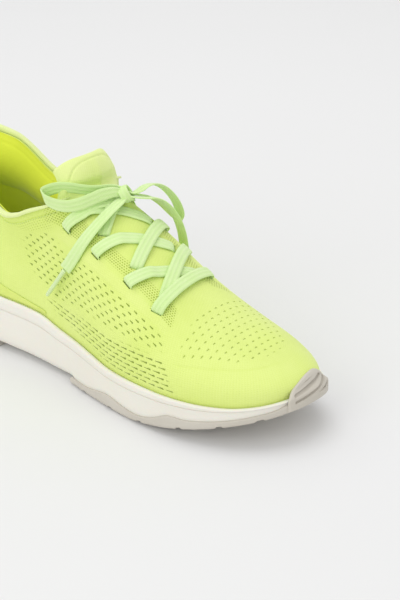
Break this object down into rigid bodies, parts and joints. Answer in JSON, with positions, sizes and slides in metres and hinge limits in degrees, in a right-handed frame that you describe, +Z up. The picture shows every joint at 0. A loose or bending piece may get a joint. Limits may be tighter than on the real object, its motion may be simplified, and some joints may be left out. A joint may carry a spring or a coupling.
{
  "type": "running shoe",
  "caption": "Laced running shoe with a knitted bootie upper, flared heel collar, padded tongue tab, tied flat lace, foam midsole and rubber outsole that wraps the toe.",
  "frame": {"origin": "centre of the shoe's plan box, on the ground face of the sole", "axes": "+X to the toe, +Y to the inner (medial) side of the right foot, +Z up"},
  "size_m": [0.2962, 0.1004, 0.1312],
  "materials": {
    "knit": "fine engineered knit with open perforations",
    "binding": "ribbed edge tape",
    "tongue_cloth": "padded knit",
    "lining_cloth": "brushed lining cloth",
    "film": "thin satin welded film",
    "tape": "woven tape",
    "board": "non-woven board",
    "lace": "flat woven lace",
    "aglet": "clear shrunk film over lace",
    "soft_foam": "soft open foam",
    "stiffener": "thermoplastic sheet",
    "midsole_foam": "matt moulded foam",
    "outsole_rubber": "matt moulded rubber"
  },
  "bodies": {
    "shoe": {"midsole": "midsole_foam", "outsole_forefoot": "outsole_rubber", "outsole_heel_lateral": "outsole_rubber", "outsole_heel_medial": "outsole_rubber", "strobel_board": "board", "knit_upper": "knit", "heel_film": "film", "heel_counter": "stiffener", "toe_puff": "stiffener", "eyestay_tape_lateral": "tape", "eyestay_tape_medial": "tape", "collar_foam_lateral": "soft_foam", "collar_foam_medial": "soft_foam", "achilles_pad": "soft_foam", "collar_lining": "lining_cloth", "collar_binding": "binding", "tongue_pad": "knit", "lace": "lace", "bow_knot": "lace", "bow_loop_lateral": "lace", "bow_loop_medial": "lace", "lace_tail_lateral": "lace", "lace_tail_medial": "lace", "aglet_lateral": "aglet", "aglet_medial": "aglet"},
    "tongue_tab": {"tongue_tab": "tongue_cloth"},
    "insole": {"sockliner": "soft_foam", "sockliner_cloth": "lining_cloth"}
  },
  "joints": [
    {"name": "tongue_tab_bend", "type": "hinge", "parent": "shoe", "child": "tongue_tab", "pos_m": [-0.0231, 0.00975, 0.1], "axis": [0, 1, 0], "range_deg": [-22, 6], "stiffness_Nm_per_rad": 0.06},
    {"name": "insole_lift", "type": "hinge", "parent": "shoe", "child": "insole", "pos_m": [0.1349, 0.0075, 0.0255], "axis": [0, 1, 0], "range_deg": [0, 2.5]}
  ]
}
